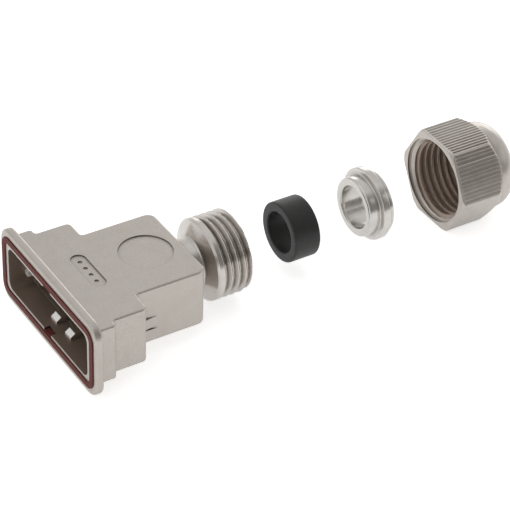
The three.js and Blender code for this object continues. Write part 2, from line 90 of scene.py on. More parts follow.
# Mesh work: how far a cutting tool runs past the surface, how deep an added shape sinks into its neighbour,
# and the length under which an edge is a sliver.
OVERCUT = 1.0
ROOTED = 0.3
SLIVER = 0.0025

# Marked faces: how far a face's middle may lie off a flat surface, or outside or inside a block's edges.
ON_SURFACE = 0.02
MARK_OUTSIDE = 0.05
MARK_INSIDE = 0.1

# Edge roundings: radius, segments, and the smallest angle in degrees that is rounded.
BODY_ROUND = (0.42, 4, 60)
FLANGE_ROUND = (0.5, 5, 60)
JOIN_ROUND = (0.4, 4, 55)
POCKET_ROUND = (0.3, 4, 55)
CATCH_ROUND = (0.14, 3, 30)
FINE_ROUND = (0.09, 2, 35)
SEAL_ROUND = (0.2, 4, 30)

# Hood. Every station along X, half-width in Y and half-height in Z.
FLANGE = {"back": 1.75, "width": 18.2, "height": 7.8, "corner": 3.0}
COLLAR = {"back": 5.35, "width": 16.24}
WIDE = {"back": 12.4, "width": 14.7}
NARROW = {"back": 27.1, "width": 10.2}
BODY_HALF_HEIGHT = 5.95
PLAN_FILLETS = {"collar": 0.7, "wide_root": 0.5, "wide": 1.1, "narrow_root": 0.6, "narrow": 1.8}
BARE_RIM = 0.3
MOUTH = {"width": 15.15, "height": 4.6, "corner": 1.6}
POCKETS = [(4.5, 15.15, 4.6), (11.2, 13.3, 4.35), (23.6, 8.6, 4.35)]
RIBS = {"centres": (2.1, -3.25), "width": 2.1, "height": 0.9, "front": 2.4, "back": 20.0}
RAMP = {"length": 0.9, "drop": 0.65}
KEY = {"front": 3.3, "reach": 1.1, "bottom": -2.9, "top": -1.3}
CATCH = {"back": 16.9, "proud": 0.8, "top": -0.4, "bottom": -2.6, "rooted": 0.4}
SLOT = {"height": 0.6, "depth": 0.9, "start": 0.05}
RECESS_DEPTH = 0.22
DISC = {"x": 20.1, "radius": 5.1}
OBROUND = {"x": 8.4, "length": 10.5, "width": 3.0}
DIMPLES = {"count": 4, "pitch": 2.1, "radius": 0.42, "depth": 0.2}
WALL_HOLE_RADIUS = 4.7

# Seal and its groove in the flange's front face.
GROOVE = {"width": 17.4, "height": 6.55, "corner": 2.6, "wide": 1.3, "deep": 1.1}
NOTCH = {"half_width": 1.35, "into_mouth": 0.5, "into_groove": 0.2}
TAB = {"half_width": 1.2, "reach": 0.3, "short_of_floor": 0.02}
SEAL_GAP = 0.05
SEAL_PROUD = 0.2

# Spigot.
NECK_RADIUS = 5.0
STUB_RADIUS = 4.65
SPIGOT_BORE = 3.6
SHOULDER_GAP = 0.05
CONE_FRONT = 29.7
LAND_FRONT = 31.0
LAND_BACK = 32.2
THREAD_CHAMFER = 0.4
COUNTERBORE = {"front": 32.6, "radius": 6.15, "chamfer": 0.2}
O_RING_GROOVE = (24.8, 26.0)
O_RING_GROOVE_RADIUS = 4.1
O_RING_GAP = 0.03

# Nut, in millimetres from its own front face.
NUT = {
    "flats": 9.0, "corner": 10.49, "corners_end": 8.2, "flats_end": 10.4, "dome": 8.7,
    "dome_start": 11.2, "end": 5.9, "hole": 4.75, "floor": 11.3, "length": 14.5,
    "recess": 8.5, "recess_depth": 0.6, "mouth": 8.15, "thread_start": 1.5, "thread_end": 9.8, "minor": 7.33,
    "major": 8.12, "thread_root": 7.23, "thread_fade": 0.3, "fade_start": 0.65,
    "face_edge": (0.03, 0.1), "face_drop": 0.75, "face_slope": 1.6, "front_edge": 0.07,
    "shoulder_curve": 1.25, "corner_round": 0.16, "face_round": 0.12, "front_land": 0.2, "end_land": 0.3,
}
# Stations in the nut between which the threaded bore gets painted shade.
NUT_BORE_SHADE = {"front": 1.1, "back": 11.4}
V_GROOVES = {"count": 13, "pitch": 0.78, "width": 0.5, "depth": 0.27, "start": 0.5, "run_in": 0.25}
NUT_COLUMNS = {"smooth_flat": 30, "per_groove": 14}
SMOOTH_FLATS = (0, 3)

RING = {"bore": 4.25, "nose": 5.9, "nose_length": 2.4, "flange": 7.2, "flange_length": 1.6, "rim": 6.45}
WASHER_BORE = 4.6
GROMMET_BORE = 4.1


# ---------------------------------------------------------------- mesh building

def to_frame(points):
    """Millimetres from the hood's front face to metres in the row frame."""
    placed = np.asarray(points, float) * MM
    placed[..., 0] += DATUM
    return placed


def link(name, data):
    """A new object in the scene, from its mesh, light or camera."""
    obj = bpy.data.objects.new(name, data)
    bpy.context.scene.collection.objects.link(obj)
    return obj


def grid_object(name, points):
    """A closed surface from a grid of points that wraps round in both directions."""
    rows, columns = points.shape[:2]
    row, column = np.meshgrid(np.arange(rows), np.arange(columns), indexing="ij")
    next_row = (row + 1) % rows
    next_column = (column + 1) % columns
    corners = [row * columns + column, row * columns + next_column,
               next_row * columns + next_column, next_row * columns + column]
    faces = np.stack([c.ravel() for c in corners], axis=1)
    mesh = bpy.data.meshes.new(name)
    mesh.from_pydata(to_frame(points).reshape(-1, 3).tolist(), [], faces.tolist())
    return link(name, mesh)


def extruded(name, outline, low, high, axis):
    """A prism from an outline. Along X the outline is in (Y, Z), and along Z it is in (X, Y)."""
    def place(point, level):
        u, v = point
        return (level, u, v) if axis == "x" else (u, v, level)

    count = len(outline)
    points = [place(p, low) for p in outline] + [place(p, high) for p in outline]
    faces = [tuple(reversed(range(count))), tuple(range(count, 2 * count))]
    for i in range(count):
        j = (i + 1) % count
        faces.append((i, j, count + j, count + i))
    mesh = bpy.data.meshes.new(name)
    mesh.from_pydata(to_frame(points).tolist(), [], faces)
    return link(name, mesh)


def block(name, low, high):
    """A box between two corners."""
    outline = [(low[1], low[2]), (high[1], low[2]), (high[1], high[2]), (low[1], high[2])]
    return extruded(name, outline, low[0], high[0], "x")


def arc(cx, cy, radius, start, end, steps):
    """Points along an arc between two angles in degrees, both ends included."""
    angles = np.radians(np.linspace(start, end, steps + 1))
    return [(cx + radius * math.cos(a), cy + radius * math.sin(a)) for a in angles]


def rounded_rectangle(width, height, corner, steps=8):
    """Half-width, half-height and corner radius to an outline, counter-clockwise."""
    cx, cy = width - corner, height - corner
    outline = []
    for sx, sy, start in ((1, -1, -90), (1, 1, 0), (-1, 1, 90), (-1, -1, 180)):
        outline += arc(sx * cx, sy * cy, corner, start, start + 90, steps)
    return outline


def circle(cx, cy, radius, count):
    """A full round outline."""
    return arc(cx, cy, radius, 0, 360 - 360 / count, count - 1)


def obround(x, length, width, steps=16):
    """An outline with two straight sides along Y and two round ends, of a length and width overall."""
    end = (length - width) / 2
    return arc(x, end, width / 2, 0, 180, steps) + arc(x, -end, width / 2, 180, 360, steps)


def filleted(corners, steps=5):
    """A closed profile of (station, radius) from (station, radius, fillet) corners."""
    profile = []
    count = len(corners)
    for i, (x, r, fillet) in enumerate(corners):
        here = Vector((x, r))
        if fillet <= 0:
            profile.append((x, r))
            continue
        before = Vector(corners[i - 1][:2]) - here
        after = Vector(corners[(i + 1) % count][:2]) - here
        half = before.angle(after) / 2
        longest = 0.49 * min(before.length, after.length)
        reach = min(fillet / math.tan(half), longest)
        radius = reach * math.tan(half)
        start = here + before.normalized() * reach
        end = here + after.normalized() * reach
        centre = here + (before.normalized() + after.normalized()).normalized() * (radius / math.sin(half))
        a = math.atan2(start.y - centre.y, start.x - centre.x)
        turn = math.atan2(end.y - centre.y, end.x - centre.x) - a
        turn = (turn + math.pi) % (2 * math.pi) - math.pi
        for k in range(steps + 1):
            angle = a + turn * k / steps
            profile.append((centre.x + radius * math.cos(angle), centre.y + radius * math.sin(angle)))
    return profile


def densified(profile, longest):
    """The same closed profile with no step longer than the given one."""
    dense = []
    for i, (x, r) in enumerate(profile):
        x2, r2 = profile[(i + 1) % len(profile)]
        pieces = max(1, math.ceil(math.hypot(x2 - x, r2 - r) / longest))
        for k in range(pieces):
            dense.append((x + (x2 - x) * k / pieces, r + (r2 - r) * k / pieces))
    return dense


def rows_by_angles(profile, angles):
    """The stations, radii and angles of a turned surface, as arrays of one row per profile point."""
    x, radius = np.array(profile).T[:, :, None]
    return np.broadcast_arrays(x, radius, np.asarray(angles)[None, :])


def wound(x, radius, angle):
    """Points in space from stations, radii and angles about the axis."""
    return np.stack([x, radius * np.cos(angle), radius * np.sin(angle)], axis=2)


def turned(name, profile, facets=160, reshape=None):
    """A ring turned about the axis. reshape(x, radius, angle) may change the radius, on whole arrays."""
    x, radius, angle = rows_by_angles(profile, 2 * np.pi * np.arange(facets) / facets)
    if reshape:
        radius = reshape(x, radius, angle)
    return grid_object(name, wound(x, radius, angle))


def baked(obj):
    """Applies an object's modifiers to its own mesh."""
    bpy.context.view_layer.update()
    depsgraph = bpy.context.evaluated_depsgraph_get()
    mesh = bpy.data.meshes.new_from_object(obj.evaluated_get(depsgraph))
    obj.modifiers.clear()
    obj.data = mesh
    return obj


def combined(obj, tool, operation):
    """Joins or cuts obj with a tool object, and removes the tool."""
    boolean = obj.modifiers.new("boolean", "BOOLEAN")
    boolean.operation = operation
    boolean.solver = "EXACT"
    boolean.object = tool
    baked(obj)
    bpy.data.objects.remove(tool)
    return obj


def bevelled(obj, width, segments, angle):
    """Rounds every edge that is sharper than an angle in degrees, over a width in millimetres."""
    bevel = obj.modifiers.new("bevel", "BEVEL")
    bevel.width = width * MM
    bevel.segments = segments
    bevel.limit_method = "ANGLE"
    bevel.angle_limit = math.radians(angle)
    bevel.miter_outer = "MITER_ARC"
    bevel.use_clamp_overlap = True
    return baked(obj)


def cleaned(obj):
    """Closes up the slivers and near-zero edges that joins, cuts and bevels leave."""
    mesh = bmesh.new()
    mesh.from_mesh(obj.data)
    bmesh.ops.remove_doubles(mesh, verts=mesh.verts, dist=SLIVER * MM)
    bmesh.ops.dissolve_degenerate(mesh, dist=SLIVER * MM, edges=mesh.edges)
    loose = [vertex for vertex in mesh.verts if not vertex.link_faces]
    bmesh.ops.delete(mesh, geom=loose, context="VERTS")
    mesh.to_mesh(obj.data)
    mesh.free()
    return obj


def outwards(obj):
    """Makes every face point outwards."""
    mesh = bmesh.new()
    mesh.from_mesh(obj.data)
    bmesh.ops.recalc_face_normals(mesh, faces=mesh.faces)
    mesh.to_mesh(obj.data)
    mesh.free()
    return obj


def finished(obj, body, node, material, crease=32):
    """Gives a piece its shading, body, material slot and material, and hides its CAD node's part."""
    outwards(obj)
    for polygon in obj.data.polygons:
        polygon.use_smooth = True
    obj.data.set_sharp_from_angle(angle=math.radians(crease))
    weighted = obj.modifiers.new("weighted", "WEIGHTED_NORMAL")
    weighted.keep_sharp = True
    baked(obj)
    obj.data.materials.clear()
    obj.data.materials.append(material)
    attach(obj, body)
    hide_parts(node)
    return obj


# ---------------------------------------------------------------- hood

def hood_outside():
    """The flange and the stepped body behind it, with every edge and inner corner rounded."""
    steps = [
        (FLANGE["back"] / 2, COLLAR["width"], 0),
        (COLLAR["back"], COLLAR["width"], PLAN_FILLETS["collar"]),
        (COLLAR["back"], WIDE["width"], PLAN_FILLETS["wide_root"]),
        (WIDE["back"], WIDE["width"], PLAN_FILLETS["wide"]),
        (WIDE["back"], NARROW["width"], PLAN_FILLETS["narrow_root"]),
        (NARROW["back"], NARROW["width"], PLAN_FILLETS["narrow"]),
    ]
    outline = [(x, -y, r) for x, y, r in steps] + [(x, y, r) for x, y, r in reversed(steps)]
    body = extruded("hood_shell_cast", filleted(outline, steps=7), -BODY_HALF_HEIGHT, BODY_HALF_HEIGHT, "z")
    bevelled(outwards(body), *BODY_ROUND)
    outline = rounded_rectangle(FLANGE["width"], FLANGE["height"], FLANGE["corner"])
    flange = extruded("flange", outline, 0, FLANGE["back"], "x")
    bevelled(outwards(flange), *FLANGE_ROUND)
    return bevelled(combined(body, flange, "UNION"), *JOIN_ROUND)


def ramped_block(name, front, back, near, far, bottom, top):
    """A block whose front top edge is cut back to a ramp."""
    ramp = [(front + RAMP["length"], top), (front, top - RAMP["drop"])]
    side = [(front, bottom), (back, bottom), (back, top)] + ramp
    points = [(x, near, z) for x, z in side] + [(x, far, z) for x, z in side]
    count = len(side)
    faces = [tuple(range(count)), tuple(reversed(range(count, 2 * count)))]
    faces += [(i, count + i, count + (i + 1) % count, (i + 1) % count) for i in range(count)]
    mesh = bpy.data.meshes.new(name)
    mesh.from_pydata(to_frame(points).tolist(), [], faces)
    return outwards(link(name, mesh))


def hood_cavity():
    """The hollow, with the guide ribs and side keys left standing in it."""
    cavity = None
    for back, width, height in POCKETS:
        part = extruded("pocket", rounded_rectangle(width, height, MOUTH["corner"]), -OVERCUT, back, "x")
        cavity = combined(cavity, part, "UNION") if cavity else part
    bevelled(cavity, *POCKET_ROUND)
    floor = -POCKETS[1][2]
    half = RIBS["width"] / 2
    for centre in RIBS["centres"]:
        rib = ramped_block("rib", RIBS["front"], RIBS["back"], centre - half, centre + half,
                           -MOUTH["height"] - ROOTED, floor + RIBS["height"])
        combined(cavity, rib, "DIFFERENCE")
    for side in (-1, 1):
        near, far = sorted((side * (MOUTH["width"] - KEY["reach"]), side * (MOUTH["width"] + ROOTED)))
        key = ramped_block("key", KEY["front"], POCKETS[0][0] + ROOTED, near, far, KEY["bottom"], KEY["top"])
        combined(cavity, key, "DIFFERENCE")
    return cavity


def side_prism(name, side, outline, bottom, top):
    """A prism beside the narrow body, from an outline of (X, distance from the middle)."""
    return outwards(extruded(name, [(x, side * y) for x, y in outline], bottom, top, "z"))


def side_catch(side):
    """A wedge that fades out along the narrow body."""
    wall = NARROW["width"]
    root = wall - CATCH["rooted"]
    front = WIDE["back"] - ROOTED
    outline = [(front, root), (CATCH["back"], root), (CATCH["back"], wall), (front, wall + CATCH["proud"])]
    return bevelled(side_prism("catch", side, outline, CATCH["bottom"], CATCH["top"]), *CATCH_ROUND)


def catch_slot(side):
    """The slot under the catch, deepest at the wide body and running out to nothing."""
    wall = NARROW["width"]
    clear = wall + OVERCUT
    front = WIDE["back"] + SLOT["start"]
    outline = [(front, wall - SLOT["depth"]), (CATCH["back"], wall), (CATCH["back"], clear), (front, clear)]
    return side_prism("slot", side, outline, CATCH["bottom"] - SLOT["height"], CATCH["bottom"])


def ring_groove(name, front, back, gap):
    """The rounded-rectangle ring for the seal, shrunk by a gap on every side."""
    outer, inner = [
        rounded_rectangle(GROOVE["width"] - inset, GROOVE["height"] - inset, GROOVE["corner"] - inset)
        for inset in (gap, GROOVE["wide"] - gap)
    ]
    ring = extruded(name, outer, front, back, "x")
    return combined(ring, extruded("hole", inner, front - OVERCUT, back + OVERCUT, "x"), "DIFFERENCE")


def mark_faces(obj, name, chosen):
    """Writes 1 on the chosen faces and 0 on the others, for a material to read."""
    marks = obj.data.attributes.new(name, "FLOAT", "FACE")
    marks.data.foreach_set("value", np.asarray(chosen, np.float32))


def faces_where(obj, test):
    """True for each face whose middle, in millimetres, and normal pass a test."""
    offset = Vector((DATUM, 0, 0))
    return [test((polygon.center - offset) / MM, polygon.normal) for polygon in obj.data.polygons]


def in_hollow(place, normal):
    """The hollow's walls and floor, apart from the lead-ins: the faces that get painted shade."""
    in_pocket = any(place.x < back + ON_SURFACE and abs(place.y) < width + ON_SURFACE
                    for back, width, _ in POCKETS)
    deep = in_pocket and place.x > BARE_RIM and abs(place.z) < MOUTH["height"] + ON_SURFACE
    return deep and not on_lead_in(place, normal)


def on_lead_in(place, normal):
    """The ribs' and keys' faces that look out of the mouth, and the keys' sides: the faces that get a painted
    highlight.
    """
    off_floor = abs(place.z) < MOUTH["height"] - ON_SURFACE
    at_front = RIBS["front"] - MARK_INSIDE < place.x < KEY["front"] + RAMP["length"] + MARK_INSIDE
    looks_out = normal.x < -0.4
    key_tip = MOUTH["width"] - KEY["reach"]
    on_key = (key_tip - MARK_OUTSIDE < abs(place.y) < MOUTH["width"] - MARK_INSIDE
              and KEY["front"] - MARK_OUTSIDE < place.x < POCKETS[0][0]
              and KEY["bottom"] < place.z < KEY["top"] + MARK_OUTSIDE)
    return off_floor and (at_front and looks_out or on_key)


def seal_notch(side):
    """The gap in the rim that takes one of the seal's tabs."""
    mouth_edge = MOUTH["height"] - NOTCH["into_mouth"]
    groove_edge = GROOVE["height"] - GROOVE["wide"] + NOTCH["into_groove"]
    low, high = sorted((side * mouth_edge, side * groove_edge))
    return block("notch", (-OVERCUT, -NOTCH["half_width"], low), (GROOVE["deep"], NOTCH["half_width"], high))


def top_marks():
    """The cutting tools for the top face: a plain disc, an obround pad, and the pad's row of dimples."""
    top = BODY_HALF_HEIGHT + OVERCUT
    floor = BODY_HALF_HEIGHT - RECESS_DEPTH
    yield extruded("disc", circle(DISC["x"], 0, DISC["radius"], 72), floor, top, "z")
    yield extruded("pad", obround(OBROUND["x"], OBROUND["length"], OBROUND["width"]), floor, top, "z")
    for i in range(DIMPLES["count"]):
        y = (i - (DIMPLES["count"] - 1) / 2) * DIMPLES["pitch"]
        outline = circle(OBROUND["x"], y, DIMPLES["radius"], 24)
        yield extruded("dimple", outline, floor - DIMPLES["depth"], top, "z")


def hood_shell():
    """The casting: its outside, less the hollow, the seal's groove, the marks and the hole for the spigot."""
    shell = hood_outside()
    combined(shell, hood_cavity(), "DIFFERENCE")
    combined(shell, ring_groove("groove", -OVERCUT, GROOVE["deep"], 0), "DIFFERENCE")
    for side in (-1, 1):
        combined(shell, seal_notch(side), "DIFFERENCE")
        combined(shell, side_catch(side), "UNION")
        combined(shell, catch_slot(side), "DIFFERENCE")
    for mark in top_marks():
        combined(shell, mark, "DIFFERENCE")
    hole = extruded("hole", circle(0, 0, WALL_HOLE_RADIUS, 60), POCKETS[2][0], NARROW["back"] + OVERCUT, "x")
    combined(shell, hole, "DIFFERENCE")
    cleaned(bevelled(shell, *FINE_ROUND))
    # Face marks for the material: painted shade on the hollow's walls and floor, and a painted highlight on
    # the lead-ins.
    mark_faces(shell, "inside", faces_where(shell, in_hollow))
    mark_faces(shell, "lead_in_highlight", faces_where(shell, on_lead_in))
    return shell


def flange_seal():
    """A gasket with a crowned front and a locating tab at the middle of each long side."""
    back = GROOVE["deep"] - SEAL_GAP
    inside = GROOVE["height"] - GROOVE["wide"] + SEAL_GAP
    seal = ring_groove("flange_seal_moulded", -SEAL_PROUD, back, SEAL_GAP)
    tab_back = back - TAB["short_of_floor"]
    for side in (-1, 1):
        low, high = sorted((side * (inside - TAB["reach"]), side * (inside + ROOTED)))
        tab = block("tab", (SEAL_GAP, -TAB["half_width"], low), (tab_back, TAB["half_width"], high))
        combined(seal, tab, "UNION")
    return bevelled(seal, *SEAL_ROUND)


# ---------------------------------------------------------------- turned parts

def soft_min(a, b, soft):
    """The smaller of two values, with the corner between them rounded."""
    blend = np.clip(0.5 + 0.5 * (b - a) / soft, 0, 1)
    return b * (1 - blend) + a * blend - soft * blend * (1 - blend)


def thread_surface(x, angle, root, crest, ridge_width, soft=0.07):
    """The thread's radius, with crest and root slightly rounded and the ridge's width at the pitch radius."""
    phase = x / PITCH - angle / (2 * np.pi)
    offset = np.abs(phase - np.round(phase)) * PITCH
    flank = THREAD_PITCH_RADIUS - (offset - ridge_width / 2) / FLANK_SLOPE
    lowered = soft_min(flank, crest, soft)
    return -soft_min(-lowered, -root, soft)


def gland_spigot():
    """The stub in the wall with its O-ring groove, the neck, the cone and the thread, with a counterbore."""
    front, back = station("gland_spigot", 0), station("gland_spigot", 1)
    shoulder = NARROW["back"] + SHOULDER_GAP
    profile = filleted([
        (front, STUB_RADIUS, 0.1),
        (O_RING_GROOVE[0], STUB_RADIUS, 0.05),
        (O_RING_GROOVE[0], O_RING_GROOVE_RADIUS, 0.05),
        (O_RING_GROOVE[1], O_RING_GROOVE_RADIUS, 0.05),
        (O_RING_GROOVE[1], STUB_RADIUS, 0.05),
        (shoulder, STUB_RADIUS, 0),
        (shoulder, NECK_RADIUS, 0.06),
        (CONE_FRONT, NECK_RADIUS, 0.5),
        (LAND_FRONT, THREAD_RADIUS - THREAD_CHAMFER, 0.12),
        (LAND_FRONT + THREAD_CHAMFER, THREAD_RADIUS, 0.12),
        (back - THREAD_CHAMFER, THREAD_RADIUS, 0.05),
        (back, THREAD_RADIUS - THREAD_CHAMFER, 0.08),
        (back, COUNTERBORE["radius"] + COUNTERBORE["chamfer"], 0.05),
        (back - COUNTERBORE["chamfer"], COUNTERBORE["radius"], 0.05),
        (COUNTERBORE["front"], COUNTERBORE["radius"], 0.15),
        (COUNTERBORE["front"], SPIGOT_BORE, 0.15),
        (front, SPIGOT_BORE, 0.15),
    ])

    def threaded(x, radius, angle):
        surface = thread_surface(x, angle, THREAD_ROOT, THREAD_RADIUS, PITCH / 2 - THREAD_PLAY)
        run_out = np.clip((x - LAND_BACK) / THREAD_RUN_OUT, 0, 1)
        surface = THREAD_RADIUS + (surface - THREAD_RADIUS) * run_out
        outside = (x > LAND_BACK) & (radius > THREAD_ROOT)
        return np.where(outside, np.minimum(radius, surface), radius)

    return turned("gland_spigot_turned", thread_rows(profile, THREAD_ROOT), 192, threaded)


def thread_rows(profile, above, step=0.05):
    """Closely spaced rows where the profile runs along the thread, and its own points elsewhere."""
    rows = []
    for i, (x, r) in enumerate(profile):
        x2, r2 = profile[(i + 1) % len(profile)]
        along = min(r, r2) > above and abs(x2 - x) > step
        pieces = math.ceil(abs(x2 - x) / step) if along else 1
        for k in range(pieces):
            rows.append((x + (x2 - x) * k / pieces, r + (r2 - r) * k / pieces))
    return rows


def plain_ring(name, node, bore, fillet):
    """A rectangular-section ring with rounded edges, sized by its CAD node."""
    front, back, outer = station(node, 0), station(node, 1), outer_radius(node)
    corners = [(front, outer, fillet), (back, outer, fillet), (back, bore, fillet), (front, bore, fillet)]
    return turned(name, densified(filleted(corners, 6), 0.6))


def thrust_ring():
    """A stepped ring: the nose that presses the grommet, a wide flange and a narrower rim."""
    front, back = station("thrust_ring", 0), station("thrust_ring", 1)
    nose_back = front + RING["nose_length"]
    flange_back = nose_back + RING["flange_length"]
    profile = filleted([
        (front, RING["nose"], 0.45),
        (nose_back, RING["nose"], 0.3),
        (nose_back, RING["flange"], 0.22),
        (flange_back, RING["flange"], 0.22),
        (flange_back, RING["rim"], 0.12),
        (back, RING["rim"], 0.2),
        (back, RING["bore"], 0.3),
        (front, RING["bore"], 0.35),
    ], 6)
    return turned("thrust_ring_turned", densified(profile, 0.5), 192)


def o_ring():
    """An O-ring squeezed between its groove and the wall's hole."""
    front, back = station("spigot_o_ring", 0), station("spigot_o_ring", 1)
    low, high = O_RING_GROOVE_RADIUS + O_RING_GAP, WALL_HOLE_RADIUS - O_RING_GAP
    middle, half_length = (front + back) / 2, (back - front) / 2
    centre, half_height = (low + high) / 2, (high - low) / 2
    profile = [(middle - half_length * math.cos(a), centre + half_height * math.sin(a))
               for a in np.linspace(0, 2 * np.pi, 24, endpoint=False)]
    return turned("spigot_o_ring_moulded", profile, 96)


# ---------------------------------------------------------------- cap nut

def nut_angles():
    """Angles round the nut, closer together on the grooved flats, with one on each corner."""
    angles = []
    reach = NUT["flats"] * math.tan(math.pi / 6)
    grooved = NUT_COLUMNS["per_groove"] * V_GROOVES["count"]
    for flat in range(6):
        count = NUT_COLUMNS["smooth_flat"] if flat in SMOOTH_FLATS else grooved
        along = np.linspace(-reach, reach, count, endpoint=False)
        angles.append(math.pi / 6 + flat * math.pi / 3 + np.arctan2(along, NUT["flats"]))
    return np.concatenate(angles)


def nut_section(angle, x):
    """The grooved hexagon's radius at an angle, and at a station from the nut's front."""
    flat = np.floor(angle / (np.pi / 3))
    off = angle - (flat + 0.5) * np.pi / 3
    along = NUT["flats"] * np.tan(off)
    count, pitch = V_GROOVES["count"], V_GROOVES["pitch"]
    middle = (count - 1) / 2
    nearest = np.clip(np.round(along / pitch + middle), 0, count - 1) - middle
    from_groove = np.abs(along - nearest * pitch)
    profile = np.clip(1 - (from_groove / (V_GROOVES["width"] / 2)) ** 2, 0, 1)
    grooved = ~np.isin(np.mod(flat, 6), SMOOTH_FLATS)
    run_in = np.clip((x - V_GROOVES["start"]) / V_GROOVES["run_in"], 0, 1)
    hexagon = (NUT["flats"] - V_GROOVES["depth"] * profile * run_in * grooved) / np.cos(off)
    return soft_min(hexagon, NUT["corner"] - NUT["corner_round"], NUT["corner_round"])


def nut_outside():
    """The outside's profile at a corner: front face, corner, shoulder, and dome up to the flat end."""
    corner, dome = NUT["corner"], NUT["dome"]
    face = corner - NUT["face_drop"]
    edge_depth, edge_drop = NUT["face_edge"]
    shoulder = NUT["flats_end"] - NUT["corners_end"]
    land = NUT["dome_start"] - NUT["flats_end"]
    dome_depth, dome_drop = NUT["length"] - NUT["dome_start"], dome - NUT["end"]
    profile = [(0.0, face - edge_drop), (edge_depth, face)]
    for x in np.arange(0.08, NUT["corners_end"], 0.1):
        profile.append((x, min(corner, face + NUT["face_slope"] * x)))
    for s in np.linspace(0, 1, 24):
        radius = corner - (corner - dome) * s ** NUT["shoulder_curve"]
        profile.append((NUT["corners_end"] + shoulder * s, radius))
    for s in (0.35, 0.7):
        profile.append((NUT["flats_end"] + land * s, dome))
    for a in np.radians(np.linspace(0, 90, 25)):
        profile.append((NUT["dome_start"] + dome_depth * math.sin(a), NUT["end"] + dome_drop * math.cos(a)))
    return profile


def nut_inside():
    """The inside's profile, from the cable hole in the flat end to the recess in the front face."""
    corners = filleted([
        (NUT["length"], NUT["end"] - NUT["end_land"], 0),
        (NUT["length"], NUT["hole"], 0.35),
        (NUT["floor"], NUT["hole"], 0.2),
        (NUT["floor"], NUT["minor"], 0.2),
        (NUT["thread_start"], NUT["minor"], 0.05),
        (NUT["recess_depth"], NUT["mouth"], 0.05),
        (NUT["recess_depth"], NUT["recess"], 0.08),
        (0.0, NUT["recess"], 0.06),
        (0.0, NUT["recess"] + NUT["front_land"], 0),
    ])
    return thread_rows(corners, NUT["minor"] - 0.01, 0.06)


def threaded_bore(x, radius, angle, front):
    """The nut's inner radius with the thread cut into it, faded out at both ends."""
    thread = thread_surface(front + x, angle, NUT["thread_root"], NUT["major"], PITCH / 2 + THREAD_PLAY)
    fade = np.clip((x - NUT["fade_start"]) / NUT["thread_fade"], 0, 1)
    fade = fade * np.clip((NUT["thread_end"] - x) / NUT["thread_fade"], 0, 1)
    cut = np.maximum(radius, radius + (thread - radius) * fade)
    return np.where(radius > NUT["minor"] - 0.05, cut, radius)


def cap_nut():
    """A hexagon with grooved flats and a domed end, over a threaded bore."""
    front = station("cap_nut", 0)
    outside = nut_outside()
    profile = outside + nut_inside()
    is_outside = np.arange(len(profile)) < len(outside)
    x, radius, angle = rows_by_angles(profile, nut_angles())
    edge = NUT["front_edge"] * np.clip(1 - x / NUT["front_edge"], 0, 1)
    hexagonal = soft_min(nut_section(angle, x), radius, NUT["face_round"]) - edge
    radius = np.where(is_outside[:, None], hexagonal, threaded_bore(x, radius, angle, front))
    nut = grid_object("cap_nut_turned", wound(front + x, radius, angle))
    # Painted shade down the threaded bore.
    bore_shaded = ~is_outside & (x[:, 0] > NUT_BORE_SHADE["front"]) & (x[:, 0] < NUT_BORE_SHADE["back"])
    mark_faces(nut, "inside", np.repeat(bore_shaded & np.roll(bore_shaded, -1), x.shape[1]))
    return nut


# ---------------------------------------------------------------- materials

